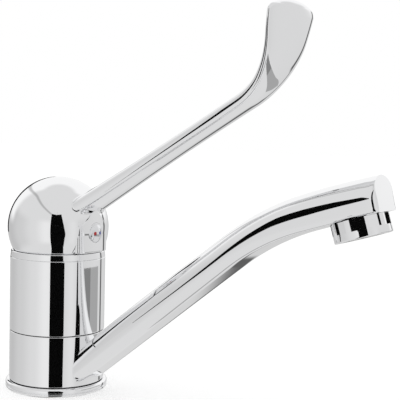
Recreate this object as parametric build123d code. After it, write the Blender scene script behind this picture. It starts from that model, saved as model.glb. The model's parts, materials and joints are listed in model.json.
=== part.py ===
from build123d import *
import os
from math import acos, cos, degrees, radians, sin, sqrt, tan

os.makedirs("parts", exist_ok=True)

# A deck-mounted elbow lever tap. Lengths are in millimetres and angles in degrees.
# +Z is up, +X points along the spout and the lever, and the origin is the centre of the
# base on the deck.

# Column: base flange, swivelling spout ring and upper body share one axis
body_wall = 6.4
flange_overhang = 1.75
flange_h = 4.2
ring_bay_h = 25.8
upper_body_h = 37.0
spout_ring_wall = 8.0
swivel_clearance = 0.06
ring_end_gap = 0.35
cut_over = 2.0

# Base flange and its seal
flange_bead_r = 1.3
flange_groove_w = 0.5
flange_groove_share = 0.42
flange_groove_depth = 0.6
seal_w = 3.0
seal_h = 1.6
seal_edge_wall = 2.2

# Waterways in the body
inlet_hole_d = 9.0
inlet_depth = 12.0
inlet_x = 4.5
inlet_y = 7.0
stud_d = 8.0
stud_hole_depth = 11.0
stud_x = -9.0
port_x = 3.0
port_y = 5.5
port_d = 4.4
outlet_x = -1.0
outlet_d = 4.8
chamber_mid_share = 0.5
chamber_w = 8.0
chamber_depth = 1.6
ring_chamber_depth = 2.4

# Spout seals and glide rings
oring_groove_w = 3.0
oring_groove_depth = 1.9
oring_from_end = 6.5
glide_recess = 0.65
glide_w = 3.6
glide_fit = 0.05

# Cartridge seat and cartridge
cartridge_fit = 0.1
seat_floor = 9.0
base_plate_h = 4.0
disc_fit = 0.1
fixed_disc_h = 3.5
moving_disc_d = 23.0
moving_disc_h = 3.0
disc_side_gap = 0.28
disc_gap = 0.02
mixing_pocket_d = 11.6
mixing_pocket_depth = 1.6
carrier_h = 3.6
carrier_post_w = 9.4
carrier_post_l = 10.0
carrier_post_wall_top = 3.4
carrier_lug_w = 3.0
carrier_lug_h = 1.6
carrier_lug_t = 1.5
carrier_gap = 0.12
housing_wall = 1.9
housing_lid = 1.8
guide_flange_h = 1.8
guide_gap = 0.1
neck_wall = 1.35
barrel_end_wall = 1.63
running_gap = 0.05
neck_h = 15.0
guide_over_neck = 1.0
seat_seal_cord = 0.9
seat_seal_d = 5.6
seat_seal_gap = 0.05
seat_peg_d = 3.0
seat_peg_h = 2.0
seat_peg_inset = 3.5

# Cartridge nut with spanner notches
nut_land = 2.4
nut_h = 4.5
nut_bore_gap = 0.3
nut_notch_w = 4.0
nut_notch_depth = 1.6
nut_notches = 4
nut_seat_wall = 1.0

# Cover ring that the ball of the handle turns in
top_bore_wall = 1.7
top_bore_depth = 4.6
cover_ring_h = 3.3
cover_ring_taper = 0.4
cover_spigot_h = 3.0
cover_fit = 0.08
ball_gap = 0.3

# Handle: ball dome, front boss, elbow lever
dome_overhang = 1.4
dome_wall = 2.2
dome_rise = 15.0
dome_skirt = 12.8
boss_inset = 0.1
boss_half_w = 10.8
boss_gap = 0.5
boss_wall_h = 13.4
boss_eave_in = 2.2
boss_eave_rise = 0.7
boss_ridge_h = 21.9
boss_depth = 11.0
boss_edge_r = 0.5
socket_boss_d = 17.0
socket_bottom = 5.2
stem_w = 8.0
stem_fit = 0.1
stem_top = 16.5
lever_angle = 29.8
lever_bend_r = 38.0
lever_end_angle = 80.0
lever_root_x = 15.5
lever_root_z = 9.3
lever_straight = 111.0
lever_top = 106.6
paddle_w = 38.5
paddle_corner_r = 4.6
paddle_crown = 2.4
lift_range = 20.0

# Cross-sections of the lever, from its root to its tip: where along the path, full width
# and thickness, and how thick the edge is
lever_place_shares = (0.0, 0.14, 0.3, 0.47, 0.62, 0.7, 0.76, 0.82, 0.88, 0.94, 1.0)
lever_widths = (23.0, 20.5, 18.5, 17.0, 17.0, 18.2, 21.2, 26.6, 32.2, 36.8, 39.5)
lever_thicks = (9.6, 8.8, 7.8, 7.3, 7.2, 7.0, 6.4, 5.6, 5.0, 4.6, 4.4)
lever_stations = 29
lever_edge_share = 0.62
lever_side_share = 0.36

# Stem, pivot pin and disc drive
pivot_pin_d = 3.0
pin_fit = 0.05
ear_r = 4.5
ear_t = 3.4
stem_hub_d = 8.0
slot_side_gap = 0.2
slot_end_gap = 0.55
hub_side_gap = 0.1
stem_arm = 22.0
stem_arm_d = 4.8
stem_ball_d = 6.4
stem_ball_gap = 0.08
stem_tip_gap = 0.6

# Set screw behind the index button
screw_d = 5.0
screw_l = 6.0
screw_hex_af = 2.5
screw_hex_depth = 2.6
screw_hole_gap = 0.3
screw_angle = 22.0
screw_boss_wall = 1.7
screw_bite = 0.8
screw_thread_l = 8.0
button_d = 9.0
button_z = -1.4
button_seat_depth = 3.0
button_fit = 0.05
button_proud = 1.3
button_dome_r = 8.0
dot_d = 1.7
dot_depth = 0.5
dot_spread = 1.75

# Spout arm: the underside runs straight up, bends and runs on to the nose
arm_start_x = 16.0
arm_start_z = 1.4
arm_slope = 37.5
arm_bend_x = 108.7
arm_bend_r = 120.0
nose_slope = 17.7
nose_x = 179.5
nose_lean = 14.0
nose_corner_r = 2.4
nose_flare = 4.0
arm_foot_z = 2.6
arm_body_gap = 0.4

# Cross-sections of the arm, from its root to its nose: place along the underside, half
# width, height of the straight side, height of the crown, radius of the lower corners
arm_place_shares = (0.0, 0.25, 0.45, 0.62, 0.75, 0.86, 1.0)
arm_half_widths = (11.2, 11.2, 11.1, 11.0, 10.8, 10.5, 10.0)
arm_side_heights = (7.05, 7.1, 6.75, 6.7, 7.3, 7.4, 6.5)
arm_crown_heights = (7.8, 8.4, 8.35, 7.9, 8.2, 8.5, 8.4)
arm_corner_radii = (5.0, 5.0, 4.8, 4.2, 3.4, 2.6, 2.0)
arm_stations = 25
arm_channel_d = 9.6
arm_channel_lift = 7.3

# Aerator at the nose
aerator_d = 24.4
aerator_h = 8.2
aerator_seat_gap = 0.05
aerator_back = 13.0
aerator_wall = 2.4
nipple_wall = 1.8
nipple_l = 2.6
thread_fit = 0.05
aerator_lip_h = 1.0
aerator_lip_w = 1.5
aerator_edge_r = 0.5
aerator_notches = 10
aerator_notch_w = 5.3
aerator_notch_depth = 1.2
aerator_notch_h = 4.9
washer_h = 1.0
insert_fit = 0.1
insert_nose = 0.6
insert_hole_d = 2.0
hole_rings = 2
hole_edge_wall = 0.85
screen_gap = 0.2
screen_h = 0.8
screen_hole_d = 1.5
nose_cavity_h = 6.0

# Fixing kit below the deck
deck_t = 20.0
stud_below = 52.0
washer_span_d = 42.0
washer_slot_w = 24.4
washer_slot_x = -1.5
rubber_washer_t = 3.0
steel_washer_t = 2.0
stud_washer_gap = 0.25
fixing_nut_af = 13.0
fixing_nut_h = 12.0
nut_collar_w = 2.0
nut_collar_h = 1.6

# Widths worked out from the driving sizes: the moving disc and its stroke set the cartridge,
# the cartridge sets the column, and the column sets the dome
half_stroke = stem_arm * sin(radians(lift_range / 2))
cartridge_d = moving_disc_d + 2 * (half_stroke + disc_side_gap + housing_wall)
guide_barrel_d = carrier_post_l + 2 * (half_stroke + slot_end_gap + barrel_end_wall)
neck_d = guide_barrel_d + 2 * (running_gap + neck_wall)
nut_thread_d = cartridge_d + 2 * (cartridge_fit + nut_land)
seat_peg_r = cartridge_d / 2 - seat_peg_inset
body_d = cartridge_d + 2 * (cartridge_fit + body_wall)
sleeve_d = body_d - 2 * spout_ring_wall
flange_d = body_d + 2 * flange_overhang
dome_d = body_d + 2 * dome_overhang
boss_r = dome_d / 2 - boss_inset
screw_hole_d = screw_d + 2 * screw_hole_gap
screw_boss_d = screw_hole_d + 2 * screw_boss_wall
nipple_d = aerator_d - 2 * aerator_wall
nipple_bore = nipple_d - 2 * nipple_wall
screen_d = nipple_bore - 2 * screen_gap
hole_pitch = (screen_d / 2 - screen_hole_d / 2 - hole_edge_wall) / hole_rings
nut_collar_d = fixing_nut_af + 2 * nut_collar_w

# Levels worked out from the driving sizes
body_r = body_d / 2
sleeve_r = sleeve_d / 2
shoulder_z = flange_h + ring_bay_h
ring_low_z = flange_h + ring_end_gap
ring_top_z = shoulder_z - ring_end_gap
body_top_z = shoulder_z + upper_body_h
pivot_z = body_top_z + dome_rise
floor_z = shoulder_z + seat_floor
plate_top_z = floor_z + base_plate_h
fixed_top_z = plate_top_z + fixed_disc_h
moving_low_z = fixed_top_z + disc_gap
moving_top_z = moving_low_z + moving_disc_h
carrier_low_z = moving_top_z + disc_gap
carrier_top_z = carrier_low_z + carrier_h
guide_low_z = carrier_top_z + carrier_gap
guide_flange_z = guide_low_z + guide_flange_h
lid_low_z = guide_flange_z + running_gap
lid_top_z = lid_low_z + housing_lid
neck_top_z = lid_top_z + neck_h
barrel_top_z = neck_top_z + guide_over_neck
nut_top_z = lid_top_z + nut_h
cartridge_r = cartridge_d / 2
bore_r = cartridge_r + cartridge_fit
dome_r = dome_d / 2
chamber_z = flange_h + ring_bay_h * chamber_mid_share
ring_bore_r = sleeve_r + swivel_clearance
top_bore_r = body_r - top_bore_wall


def ring(r_out, r_in, z_low, z_high):
    """A plain ring about the Z axis."""
    height = z_high - z_low
    outer = Cylinder(r_out, height, align=(Align.CENTER, Align.CENTER, Align.MIN))
    inner = Cylinder(r_in, height, align=(Align.CENTER, Align.CENTER, Align.MIN))
    return Pos(0, 0, z_low) * (outer - inner)


def post(r, z_low, z_high, x=0, y=0):
    """A plain upright cylinder."""
    return Pos(x, y, z_low) * Cylinder(r, z_high - z_low, align=(Align.CENTER, Align.CENTER, Align.MIN))


def block(x_size, y_size, z_low, z_high, x=0, y=0):
    """A plain upright block."""
    return Pos(x, y, z_low) * Box(x_size, y_size, z_high - z_low, align=(Align.CENTER, Align.CENTER, Align.MIN))


def turned(points):
    """Revolve a closed outline of (radius, height) points about the Z axis."""
    return revolve(Plane.XZ * make_face(Polyline(*points, close=True)), Axis.Z)


def hexagon(across_flats, z_low, z_high):
    """An upright hexagonal bar."""
    shape = Plane.XY.offset(z_low) * RegularPolygon(across_flats / 2, 6, major_radius=False)
    return extrude(shape, z_high - z_low)


def arc_point(centre, radius, angle):
    """Point of an arc in the XZ plane, the angle counted from +X towards +Z."""
    return (centre[0] + radius * cos(radians(angle)), centre[1] + radius * sin(radians(angle)))


def underside_point(share):
    """Point and direction angle of the spout's underside at a share of its length."""
    run_one = (arm_bend_x - arm_start_x) / cos(radians(arm_slope))
    bend_z = arm_start_z + (arm_bend_x - arm_start_x) * tan(radians(arm_slope))
    centre = (arm_bend_x + arm_bend_r * sin(radians(arm_slope)), bend_z - arm_bend_r * cos(radians(arm_slope)))
    run_two = arm_bend_r * radians(arm_slope - nose_slope)
    bend_end = arc_point(centre, arm_bend_r, 90 + nose_slope)
    run_three = (nose_x + cut_over - bend_end[0]) / cos(radians(nose_slope))
    along = share * (run_one + run_two + run_three)
    if along <= run_one:
        reach = along * cos(radians(arm_slope))
        return arm_start_x + reach, arm_start_z + reach * tan(radians(arm_slope)), arm_slope
    if along <= run_one + run_two:
        angle = arm_slope - degrees((along - run_one) / arm_bend_r)
        x, z = arc_point(centre, arm_bend_r, 90 + angle)
        return x, z, angle
    reach = (along - run_one - run_two) * cos(radians(nose_slope))
    return bend_end[0] + reach, bend_end[1] + reach * tan(radians(nose_slope)), nose_slope


def path_plane(x, z, angle):
    """Plane square to a path in the XZ plane: local x is across, local y is upwards."""
    heading = (cos(radians(angle)), 0, sin(radians(angle)))
    return Plane(origin=(x, 0, z), x_dir=(0, 1, 0), z_dir=heading)


def blended(places, values, share):
    """Smooth value of a table at a share of the path between its places."""
    last = len(places) - 2
    i = 0
    while i < last and share > places[i + 1]:
        i += 1
    before = max(i - 1, 0)
    after = min(i + 2, last + 1)
    gap = places[i + 1] - places[i]
    slope_a = (values[i + 1] - values[before]) / (places[i + 1] - places[before])
    slope_b = (values[after] - values[i]) / (places[after] - places[i])
    t = (share - places[i]) / gap
    rise = values[i + 1] - values[i]
    bow_a = slope_a * gap - rise
    bow_b = rise - slope_b * gap
    return values[i] + t * rise + t * (1 - t) * ((1 - t) * bow_a + t * bow_b)


def arm_section(half_w, side_h, crown_h, corner_r):
    """Outline of the spout: flat underside, rounded lower corners, upright sides, arched crown."""
    flat = half_w - corner_r
    slant = corner_r * (1 - sin(radians(45)))
    outline = [
        Line((-flat, 0), (flat, 0)),
        ThreePointArc((flat, 0), (half_w - slant, slant), (half_w, corner_r)),
        Line((half_w, corner_r), (half_w, side_h)),
        ThreePointArc((half_w, side_h), (0, side_h + crown_h), (-half_w, side_h)),
        Line((-half_w, side_h), (-half_w, corner_r)),
        ThreePointArc((-half_w, corner_r), (slant - half_w, slant), (-flat, 0)),
    ]
    return make_face(outline)


def lever_point(share):
    """Point and direction angle of the lever's middle line at a share of its length."""
    start_z = pivot_z + lever_root_z
    bend = (lever_root_x + lever_straight * cos(radians(lever_angle)),
            start_z + lever_straight * sin(radians(lever_angle)))
    centre = (bend[0] - lever_bend_r * sin(radians(lever_angle)), bend[1] + lever_bend_r * cos(radians(lever_angle)))
    turn = lever_bend_r * radians(lever_end_angle - lever_angle)
    bend_end = arc_point(centre, lever_bend_r, lever_end_angle - 90)
    run_end = (pivot_z + lever_top - bend_end[1]) / sin(radians(lever_end_angle))
    along = share * (lever_straight + turn + run_end)
    if along <= lever_straight:
        return (lever_root_x + along * cos(radians(lever_angle)),
                start_z + along * sin(radians(lever_angle)), lever_angle)
    if along <= lever_straight + turn:
        angle = lever_angle + degrees((along - lever_straight) / lever_bend_r)
        x, z = arc_point(centre, lever_bend_r, angle - 90)
        return x, z, angle
    over = along - lever_straight - turn
    return (bend_end[0] + over * cos(radians(lever_end_angle)),
            bend_end[1] + over * sin(radians(lever_end_angle)), lever_end_angle)


def lever_section(width, thick):
    """Outline of the lever: two gently arched faces joined by rounded edges."""
    edge = thick * lever_edge_share / 2
    side = width / 2 - thick * lever_side_share
    outline = [
        ThreePointArc((-side, -edge), (0, -thick / 2), (side, -edge)),
        ThreePointArc((side, -edge), (width / 2, 0), (side, edge)),
        ThreePointArc((side, edge), (0, thick / 2), (-side, edge)),
        ThreePointArc((-side, edge), (-width / 2, 0), (-side, -edge)),
    ]
    return make_face(outline)


def body_casting():
    """Brass column with cartridge seat, waterways and turned-down sleeve."""
    solid = post(body_r, shoulder_z, body_top_z) + post(sleeve_r, 0, shoulder_z)
    solid -= post(bore_r, floor_z, body_top_z)
    solid -= post(nut_thread_d / 2, lid_top_z - nut_seat_wall, body_top_z)
    solid -= post(top_bore_r, body_top_z - top_bore_depth, body_top_z)
    for side in (-1, 1):
        solid -= post(inlet_hole_d / 2, 0, inlet_depth, inlet_x, side * inlet_y)
        solid -= post(port_d / 2, inlet_depth, floor_z, port_x, side * port_y)
        solid -= post(seat_peg_d / 2 + cartridge_fit, floor_z - seat_peg_h - cartridge_fit, floor_z,
                      -seat_peg_r * cos(radians(45)), side * seat_peg_r * sin(radians(45)))
    solid -= post(stud_d / 2, 0, stud_hole_depth, stud_x, 0)
    solid -= post(outlet_d / 2, chamber_z, floor_z, outlet_x, 0)
    port = Pos(outlet_x, 0, chamber_z) * Rot(0, -90, 0) * Cylinder(
        outlet_d / 2, sleeve_r, align=(Align.CENTER, Align.CENTER, Align.MIN))
    solid -= port
    half = chamber_w / 2
    solid -= ring(sleeve_r + cut_over, sleeve_r - chamber_depth, chamber_z - half, chamber_z + half)
    for z in oring_levels():
        solid -= ring(sleeve_r + cut_over, sleeve_r - oring_groove_depth,
                      z - oring_groove_w / 2, z + oring_groove_w / 2)
    return solid


def oring_levels():
    """Heights of the two spout seals on the sleeve."""
    return flange_h + oring_from_end, shoulder_z - oring_from_end


def base_flange():
    """Turned ring under the spout: two rounded beads with a fine groove between them."""
    flange_r = flange_d / 2
    groove_z = flange_h * flange_groove_share
    shape = post(flange_r, 0, flange_h)
    shape = fillet(shape.edges().filter_by(GeomType.CIRCLE), flange_bead_r)
    shape -= ring(flange_r + cut_over, flange_r - flange_groove_depth,
                  groove_z - flange_groove_w / 2, groove_z + flange_groove_w / 2)
    shape -= post(sleeve_r, 0, flange_h)
    seal_out = flange_r - seal_edge_wall
    shape -= ring(seal_out, seal_out - seal_w, 0, seal_h)
    return shape


def base_seal():
    """Flat rubber ring let into the underside of the flange."""
    seal_out = flange_d / 2 - seal_edge_wall
    return ring(seal_out, seal_out - seal_w, 0, seal_h)


def spout_orings():
    """Two seals that sit in the sleeve's grooves and bear on the spout ring."""
    cord_r = (oring_groove_depth + swivel_clearance / 2) / 2
    middle_r = sleeve_r - oring_groove_depth + cord_r
    return [Pos(0, 0, z) * Torus(middle_r, cord_r) for z in oring_levels()]


def glide_ring(z_face, z_bed):
    """Plastic ring between the spout ring and the face that it turns on."""
    low, high = sorted((z_face, z_bed))
    return ring(sleeve_r + glide_w - glide_fit, sleeve_r, low, high)


def cartridge_base():
    """Bottom plate of the cartridge with three ports, seal grooves and locating pegs."""
    plate = post(cartridge_r, floor_z, plate_top_z)
    for x, y, bore in port_places():
        plate -= post(bore / 2, floor_z, plate_top_z, x, y)
        out_r = (seat_seal_d + seat_seal_cord) / 2 + seat_seal_gap
        plate -= post(out_r, floor_z, floor_z + seat_seal_cord, x, y)
    for side in (-1, 1):
        plate += post(seat_peg_d / 2, floor_z - seat_peg_h, floor_z,
                      -seat_peg_r * cos(radians(45)), side * seat_peg_r * sin(radians(45)))
    return plate


def port_places():
    """Places and bores of the two inlets and the outlet."""
    return (port_x, port_y, port_d), (port_x, -port_y, port_d), (outlet_x, 0, port_d)


def cartridge_seals():
    """Seals round the three ports under the cartridge."""
    cord_r = seat_seal_cord / 2
    return [Pos(x, y, floor_z + cord_r) * Torus(seat_seal_d / 2, cord_r) for x, y, bore in port_places()]


def fixed_disc():
    """Lower ceramic disc with the three ports."""
    disc = post(cartridge_r - housing_wall - disc_fit, plate_top_z, fixed_top_z)
    for x, y, bore in port_places():
        disc -= post(bore / 2, plate_top_z, fixed_top_z, x, y)
    return disc


def moving_disc():
    """Upper ceramic disc: mixing pocket below, two drive notches at its sides."""
    disc = post(moving_disc_d / 2, moving_low_z, moving_top_z, -half_stroke)
    disc -= post(mixing_pocket_d / 2, moving_low_z, moving_low_z + mixing_pocket_depth, -half_stroke)
    for side in (-1, 1):
        y = side * (moving_disc_d - carrier_lug_t) / 2
        disc -= block(carrier_lug_w + disc_fit, carrier_lug_t + disc_fit,
                      moving_top_z - carrier_lug_h - disc_gap, moving_top_z, -half_stroke, y)
    return disc


def disc_carrier():
    """Sliding plate that drives the disc, with a socket post for the stem's ball."""
    post_top = pivot_z - stem_arm + carrier_post_wall_top
    part = post(moving_disc_d / 2, carrier_low_z, carrier_top_z, -half_stroke)
    part += block(carrier_post_l, carrier_post_w, carrier_top_z, post_top, -half_stroke)
    for side in (-1, 1):
        y = side * (moving_disc_d - carrier_lug_t) / 2
        lug = block(carrier_lug_w, carrier_lug_t, carrier_low_z - carrier_lug_h, carrier_low_z, -half_stroke, y)
        part += lug & post(moving_disc_d / 2, carrier_low_z - carrier_lug_h, carrier_low_z, -half_stroke)
    socket_r = stem_ball_d / 2 + stem_ball_gap
    socket_low = pivot_z - stem_arm - stem_ball_d / 2 - stem_tip_gap
    part -= post(socket_r, socket_low, post_top, -half_stroke)
    return part


def cartridge_housing():
    """Cup of the cartridge with its lid and guide neck."""
    inner_r = cartridge_r - housing_wall
    barrel_r = guide_barrel_d / 2 + running_gap
    return turned([
        (cartridge_r, plate_top_z), (cartridge_r, lid_top_z), (neck_d / 2, lid_top_z),
        (neck_d / 2, neck_top_z), (barrel_r, neck_top_z), (barrel_r, lid_low_z),
        (inner_r, lid_low_z), (inner_r, plate_top_z),
    ])


def stem_guide():
    """Turning guide: flange under the lid, slotted barrel in the neck, two ears with the pin."""
    slot_half = carrier_post_w / 2 + slot_side_gap
    slot_l = carrier_post_l + 2 * (half_stroke + slot_end_gap)
    part = post(cartridge_r - housing_wall - disc_fit, guide_low_z, guide_flange_z)
    part += post(guide_barrel_d / 2, guide_flange_z, barrel_top_z)
    part -= block(slot_l, 2 * slot_half, guide_low_z, barrel_top_z)
    for side in (-1, 1):
        y = side * (slot_half + ear_t / 2)
        part += block(2 * ear_r, ear_t, barrel_top_z, pivot_z, 0, y)
        part += Pos(0, y, pivot_z) * Rot(90, 0, 0) * Cylinder(ear_r, ear_t)
    part -= Pos(0, 0, pivot_z) * Rot(90, 0, 0) * Cylinder(pivot_pin_d / 2, 2 * (slot_half + ear_t))
    return part


def pivot_pin():
    """Steel pin that the stem rocks on, held in the guide's ears."""
    half = carrier_post_w / 2 + slot_side_gap + ear_t
    return Pos(0, 0, pivot_z) * Rot(90, 0, 0) * Cylinder(pivot_pin_d / 2, 2 * half)


def cartridge_nut():
    """Threaded ring that holds the cartridge on its seat, with spanner notches."""
    nut_r = nut_thread_d / 2
    nut = ring(nut_r, neck_d / 2 + nut_bore_gap, lid_top_z, nut_top_z)
    for i in range(nut_notches):
        notch = block(nut_r, nut_notch_w, nut_top_z - nut_notch_depth, nut_top_z, nut_r)
        nut -= Rot(0, 0, 360 / nut_notches * (i + 1 / 2)) * notch
    return nut


def cover_ring():
    """Chromed ring on the body: tapered outside, hollowed to the ball of the handle."""
    ring_top = body_top_z + cover_ring_h
    hollow_r = dome_r + ball_gap
    spigot_r = top_bore_r - cover_fit
    neck_r = sqrt(hollow_r ** 2 - dome_rise ** 2)
    part = turned([
        (0, body_top_z - cover_spigot_h), (spigot_r, body_top_z - cover_spigot_h), (spigot_r, body_top_z),
        (body_r, body_top_z), (body_r - cover_ring_taper, ring_top), (0, ring_top),
    ])
    part -= Pos(0, 0, pivot_z) * Sphere(hollow_r)
    part -= post(neck_r, body_top_z - cover_spigot_h, body_top_z)
    return part


def screw_plane(distance):
    """Plane across the set screw's slanting axis, a distance in from the boss face."""
    direction = (-cos(radians(screw_angle)), 0, sin(radians(screw_angle)))
    origin = (boss_r + distance * direction[0], 0, pivot_z + button_z + distance * direction[2])
    return Plane(origin=origin, x_dir=(0, 1, 0), z_dir=direction)


def screw_rod(r, start, length):
    """Cylinder along the set screw's axis."""
    return screw_plane(start) * Cylinder(r, length, align=(Align.CENTER, Align.CENTER, Align.MIN))


def screw_tip():
    """How far in from the boss face the set screw's tip lies."""
    return (boss_r - stem_w / 2) / cos(radians(screw_angle)) + screw_bite


def button_rod(r, start, length):
    """Cylinder along the index button's axis; start counts outwards from the boss face."""
    place = Plane(origin=(boss_r + start, 0, pivot_z + button_z), x_dir=(0, 1, 0), z_dir=(1, 0, 0))
    return place * Cylinder(r, length, align=(Align.CENTER, Align.CENTER, Align.MIN))


def front_boss():
    """Gabled boss down the front of the dome, rounded to a cylinder about the column."""
    low = body_top_z + cover_ring_h + boss_gap
    eave = low + boss_wall_h
    inner = boss_half_w - boss_eave_in
    outline = Plane.YZ * make_face(Polyline(
        (-boss_half_w, low), (boss_half_w, low), (boss_half_w, eave), (inner, eave + boss_eave_rise),
        (0, low + boss_ridge_h), (-inner, eave + boss_eave_rise), (-boss_half_w, eave), close=True))
    prism = Pos(boss_r - boss_depth, 0, 0) * extrude(outline, boss_depth + cut_over)
    boss = prism & post(boss_r, low, low + boss_ridge_h)
    return boss


def lever_bar():
    """Elbow lever: a waisted bar that bends up and flares into a rounded paddle."""
    sections = []
    for i in range(lever_stations):
        share = i / (lever_stations - 1)
        x, z, angle = lever_point(share)
        width = blended(lever_place_shares, lever_widths, share)
        thick = blended(lever_place_shares, lever_thicks, share)
        sections.append(path_plane(x, z, angle) * lever_section(width, thick))
    bar = loft(sections)
    top = pivot_z + lever_top
    half = paddle_w / 2
    corner = paddle_corner_r
    shoulder = top - paddle_crown
    slant = corner * (1 - sin(radians(45)))
    low = pivot_z
    side = half + cut_over
    outline = make_face([
        Line((-side, low), (side, low)),
        Line((side, low), (side, shoulder - corner - cut_over)),
        Line((side, shoulder - corner - cut_over), (half, shoulder - corner)),
        ThreePointArc((half, shoulder - corner), (half - slant, shoulder - slant), (half - corner, shoulder)),
        ThreePointArc((half - corner, shoulder), (0, top), (corner - half, shoulder)),
        ThreePointArc((corner - half, shoulder), (slant - half, shoulder - slant), (-half, shoulder - corner)),
        Line((-half, shoulder - corner), (-side, shoulder - corner - cut_over)),
        Line((-side, shoulder - corner - cut_over), (-side, low)),
    ])
    plan = extrude(Plane.YZ * outline, lever_straight + lever_top)
    return bar & plan


def elbow_handle():
    """Casting with the ball dome, the front boss, the stem socket and the lever."""
    ball = Pos(0, 0, pivot_z) * Sphere(dome_r)
    inside = Pos(0, 0, pivot_z) * Sphere(dome_r - dome_wall)
    skirt_z = pivot_z - dome_skirt
    part = ball + front_boss() + lever_bar()
    part -= inside
    part -= post(dome_r, pivot_z - dome_r, skirt_z)
    socket_low = pivot_z + socket_bottom
    part += post(socket_boss_d / 2, socket_low, pivot_z + dome_r) & ball
    tip = screw_tip()
    rib = screw_rod(screw_boss_d / 2, 0, tip) & inside
    rib -= post(dome_r, pivot_z - dome_r, socket_low - screw_boss_d)
    part += rib
    hole = stem_w + 2 * stem_fit
    part -= block(hole, hole, pivot_z - dome_r, pivot_z + stem_top + stem_fit)
    part -= screw_rod(screw_d / 2, tip - screw_thread_l, screw_thread_l)
    part -= screw_rod(screw_hole_d / 2, 0, tip - screw_thread_l)
    part -= button_rod(button_d / 2 + button_fit, -button_seat_depth, button_seat_depth + cut_over)
    return part


def stem():
    """Square stem with a hub on the pin and a leaning arm that ends in a ball."""
    part = block(stem_w, stem_w, pivot_z, pivot_z + stem_top)
    hub_l = carrier_post_w + 2 * (slot_side_gap - hub_side_gap)
    part += Pos(0, 0, pivot_z) * Rot(90, 0, 0) * Cylinder(stem_hub_d / 2, hub_l)
    lean = Pos(0, 0, pivot_z) * Rot(0, lift_range / 2, 0)
    part += lean * Pos(0, 0, -stem_arm) * Cylinder(
        stem_arm_d / 2, stem_arm, align=(Align.CENTER, Align.CENTER, Align.MIN))
    part += lean * Pos(0, 0, -stem_arm) * Sphere(stem_ball_d / 2)
    part -= Pos(0, 0, pivot_z) * Rot(90, 0, 0) * Cylinder(pivot_pin_d / 2 + pin_fit, hub_l)
    part -= screw_rod(screw_d / 2, screw_tip() - screw_l, screw_l)
    return part


def set_screw():
    """Grub screw that clamps the stem, with a hexagon socket at its outer end."""
    tip = screw_tip()
    screw = screw_rod(screw_d / 2, tip - screw_l, screw_l)
    socket = screw_plane(tip - screw_l) * extrude(
        RegularPolygon(screw_hex_af / 2, 6, major_radius=False), screw_hex_depth)
    return screw - socket


def button_blank():
    """Index button before its dots are let in: a short plug with a domed face."""
    edge_r = button_d / 2
    low = -button_seat_depth
    centre = (0, button_proud - button_dome_r)
    tilt = degrees(acos(edge_r / button_dome_r))
    edge = arc_point(centre, button_dome_r, tilt)
    profile = make_face([
        Line((0, low), (edge_r, low)),
        Line((edge_r, low), edge),
        ThreePointArc(edge, arc_point(centre, button_dome_r, (tilt + 90) / 2), (0, button_proud)),
        Line((0, button_proud), (0, low)),
    ])
    place = Plane(origin=(boss_r, 0, pivot_z + button_z), x_dir=(0, 1, 0), z_dir=(1, 0, 0))
    return place * revolve(Plane.XZ * profile, Axis.Z)


def dot(side):
    """Coloured dot let into the button's face."""
    sink = button_proud - dot_depth - (button_dome_r - sqrt(button_dome_r ** 2 - dot_spread ** 2))
    rod = Pos(0, side * dot_spread, 0) * button_rod(dot_d / 2, sink, button_proud)
    return rod & button_blank()


def index_button():
    """Plug in the front boss that hides the set screw and carries the two dots."""
    return button_blank() - dot(-1) - dot(1)


def spout_arm():
    """Outside of the spout: flat sides under an arched crown, along a bent path."""
    sections = []
    for i in range(arm_stations):
        share = i / (arm_stations - 1)
        x, z, angle = underside_point(share)
        half_w = blended(arm_place_shares, arm_half_widths, share)
        side_h = blended(arm_place_shares, arm_side_heights, share)
        crown_h = blended(arm_place_shares, arm_crown_heights, share)
        corner_r = blended(arm_place_shares, arm_corner_radii, share)
        sections.append(path_plane(x, z, angle) * arm_section(half_w, side_h, crown_h, corner_r))
    arm = loft(sections)
    return arm & nose_envelope()


def nose_envelope():
    """Space that the nose's leaning end face and its two rounded corners leave to the arm."""
    lean = radians(nose_lean)
    half = arm_half_widths[-1]
    side = half - nose_corner_r
    slant = nose_corner_r * (1 - sin(radians(45)))
    back = -nose_x - cut_over
    wide = half + nose_x * tan(radians(nose_flare))
    outline = make_face([
        Line((0, -side), (0, side)),
        ThreePointArc((0, side), (-slant, half - slant), (-nose_corner_r, half)),
        Line((-nose_corner_r, half), (back, wide)),
        Line((back, wide), (back, -wide)),
        Line((back, -wide), (-nose_corner_r, -half)),
        ThreePointArc((-nose_corner_r, -half), (-slant, slant - half), (0, -side)),
    ])
    place = Plane(origin=(nose_x, 0, nose_underside_z()),
                  x_dir=(cos(lean), 0, sin(lean)), z_dir=(-sin(lean), 0, cos(lean)))
    return place * extrude(outline, nose_x, both=True)


def nose_underside_z():
    """Height of the underside where the nose ends."""
    x, z, angle = underside_point(1)
    return z - (x - nose_x) * tan(radians(nose_slope))


def aerator_plane(out=0):
    """Plane of the aerator seat: local z runs out of the spout."""
    x = nose_x - aerator_back * cos(radians(nose_slope))
    z = nose_underside_z() - aerator_back * sin(radians(nose_slope))
    heading = (sin(radians(nose_slope)), 0, -cos(radians(nose_slope)))
    origin = (x + out * heading[0], 0, z + out * heading[2])
    return Plane(origin=origin, x_dir=(cos(radians(nose_slope)), 0, sin(radians(nose_slope))), z_dir=heading)


def aerator_rod(r, start, length):
    """Cylinder on the aerator's axis; start counts outwards from the spout's underside."""
    return aerator_plane(start) * Cylinder(r, length, align=(Align.CENTER, Align.CENTER, Align.MIN))


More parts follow.
